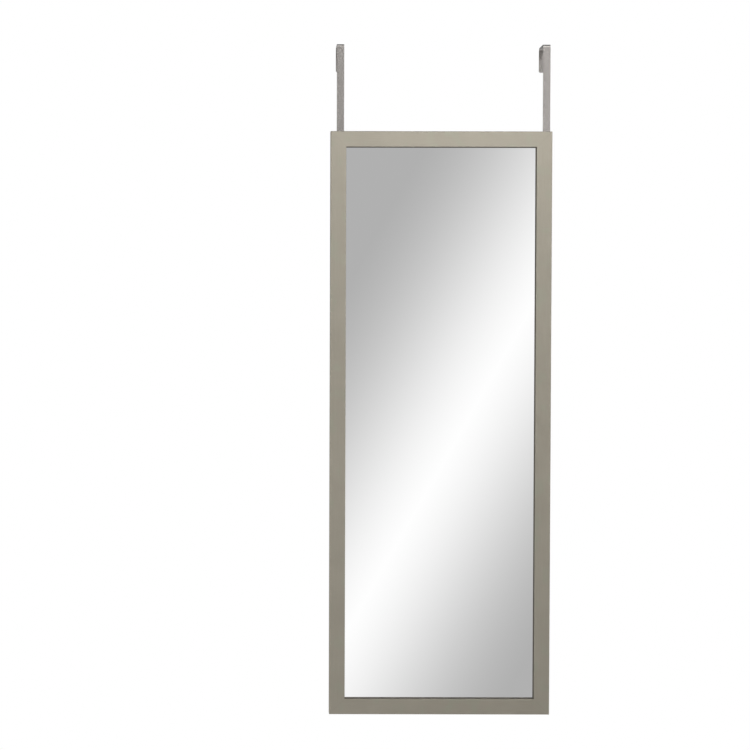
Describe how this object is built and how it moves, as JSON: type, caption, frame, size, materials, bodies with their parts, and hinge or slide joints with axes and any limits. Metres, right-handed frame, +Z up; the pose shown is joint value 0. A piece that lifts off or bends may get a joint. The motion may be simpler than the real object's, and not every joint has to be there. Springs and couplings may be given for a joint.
{
  "type": "over-the-door mirror",
  "caption": "Full-length rectangular mirror in a mitred pewter-finish frame, hung over a door by slotted steel hook straps that slide to set its height",
  "frame": {"origin": "on the door's top edge at its front face, midway across the mirror frame: the underside of the hooks' bridge pads is z = 0, and the door's front face is y = 0", "axes": "+Z up, -Y the way the mirror faces, +X to the right of someone who looks into it"},
  "size_m": [0.482, 0.066, 1.467],
  "materials": {
    "frame_foil": "satin",
    "silvered_glass": "polished",
    "foam_sheet": "matte",
    "hardboard": "matte",
    "zinc_steel": "satin",
    "hanger_steel": "satin",
    "grey_rubber": "matte",
    "pad_foam": "matte"
  },
  "bodies": {
    "mirror": {"top_rail": "frame_foil", "bottom_rail": "frame_foil", "left_stile": "frame_foil", "right_stile": "frame_foil", "top_left_v_nails": "zinc_steel", "top_right_v_nails": "zinc_steel", "bottom_left_v_nails": "zinc_steel", "bottom_right_v_nails": "zinc_steel", "mirror_glass": "silvered_glass", "foam_sheet": "foam_sheet", "backing_board": "hardboard", "top_retaining_points": "zinc_steel", "bottom_retaining_points": "zinc_steel", "left_retaining_points": "zinc_steel", "right_retaining_points": "zinc_steel", "top_left_bumper": "grey_rubber", "top_right_bumper": "grey_rubber", "bottom_left_bumper": "grey_rubber", "bottom_right_bumper": "grey_rubber", "left_upper_screw": "zinc_steel", "left_lower_screw": "zinc_steel", "right_upper_screw": "zinc_steel", "right_lower_screw": "zinc_steel"},
    "left_hanger": {"left_hanger_strap": "hanger_steel", "left_door_pad": "pad_foam", "left_bridge_pad": "pad_foam"},
    "right_hanger": {"right_hanger_strap": "hanger_steel", "right_door_pad": "pad_foam", "right_bridge_pad": "pad_foam"}
  },
  "joints": [
    {"name": "left_hanger_slide", "type": "slide", "parent": "mirror", "child": "left_hanger", "axis": [0, 0, 1], "range_m": [-0.025, 0.025]},
    {"name": "right_hanger_slide", "type": "slide", "parent": "mirror", "child": "right_hanger", "axis": [0, 0, 1], "range_m": [-0.025, 0.025]}
  ]
}
